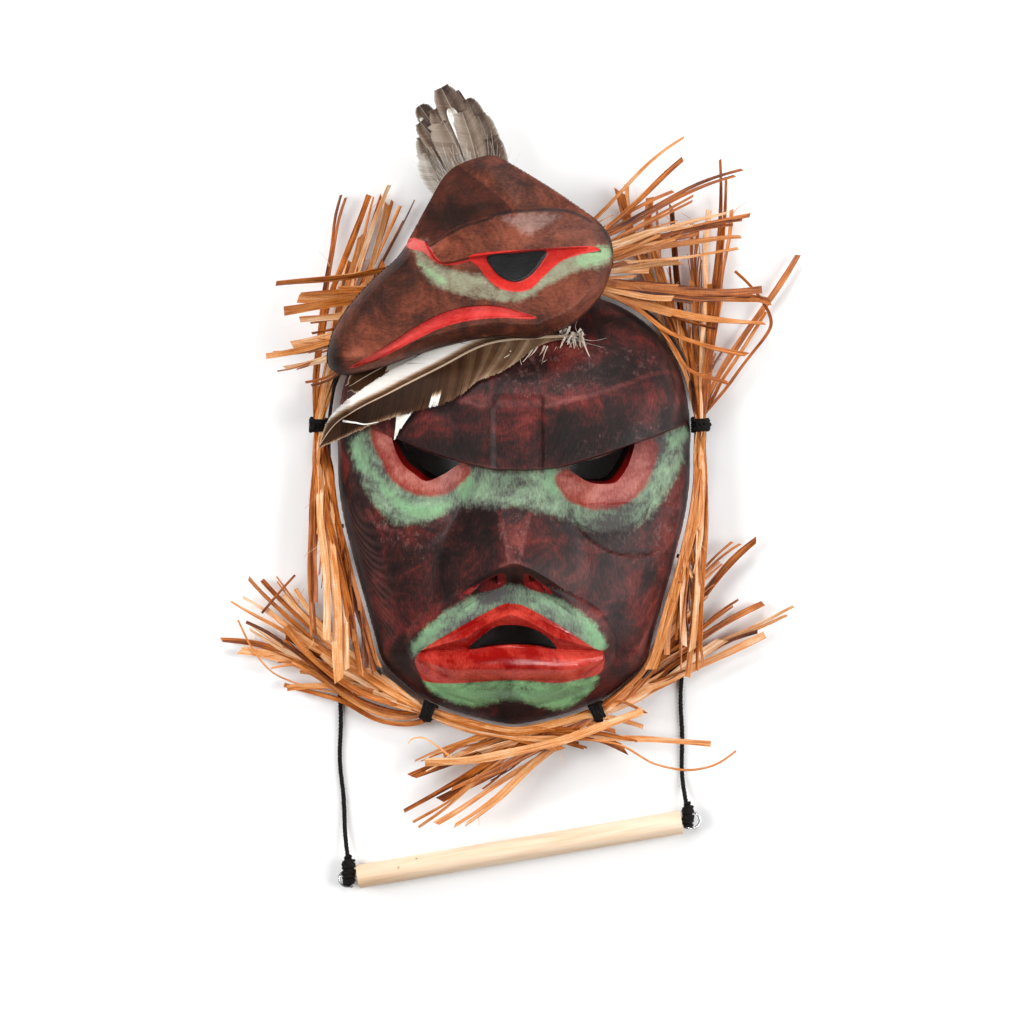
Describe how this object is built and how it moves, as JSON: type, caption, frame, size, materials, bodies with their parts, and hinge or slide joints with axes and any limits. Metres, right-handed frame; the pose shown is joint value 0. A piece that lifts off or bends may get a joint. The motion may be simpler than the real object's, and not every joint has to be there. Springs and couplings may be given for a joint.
{
  "type": "wall mask",
  "caption": "Carved cedar face mask with a raven head on the forehead, edged with a hoop of bark strip bundles and feathers, and a dowel hung below on cords.",
  "frame": {"origin": "centre of the whole part's outline, on the plane of the mask's back rim, which is the floor it lies on", "axes": "+Z out of the face, +Y towards the crown of the head, +X to the right of someone looking at the face"},
  "size_m": [0.3945, 0.5388, 0.098],
  "materials": {
    "painted_cedar": "dry-brushed black and dark red paint, green and red bands, satin",
    "painted_cedar_raven": "brown stain with red and green paint, satin",
    "black_hoop": "black wire",
    "cedar_bark": "raw split inner bark, dry",
    "black_yarn": "twisted wool yarn",
    "brown_feather": "natural feather, brown and white",
    "grey_feather": "natural grey body feathers",
    "birch": "bare sanded dowel",
    "steel_wire": "zinc-plated wire"
  },
  "bodies": {
    "root": {"face_mask": "painted_cedar", "raven_head": "painted_cedar_raven", "hoop": "black_hoop", "hoop_peg_left": "black_hoop", "hoop_peg_right": "black_hoop", "bark_bundle_left": "cedar_bark", "bark_bundle_right": "cedar_bark", "bark_bundle_top": "cedar_bark", "bark_bundle_lower_left": "cedar_bark", "bark_bundle_lower_right": "cedar_bark", "yarn_tie_left": "black_yarn", "yarn_tie_right": "black_yarn", "yarn_tie_top": "black_yarn", "yarn_tie_lower_left": "black_yarn", "yarn_tie_lower_right": "black_yarn", "feather_long": "brown_feather", "feather_small": "brown_feather", "crest_feather_1": "grey_feather", "crest_feather_2": "grey_feather", "crest_feather_3": "grey_feather", "crest_feather_4": "grey_feather", "crest_feather_5": "grey_feather", "dowel": "birch", "screw_eye_left": "steel_wire", "screw_eye_right": "steel_wire", "yarn_knot_left": "black_yarn", "yarn_knot_right": "black_yarn", "cord_left": "black_yarn", "cord_right": "black_yarn"}
  },
  "joints": []
}
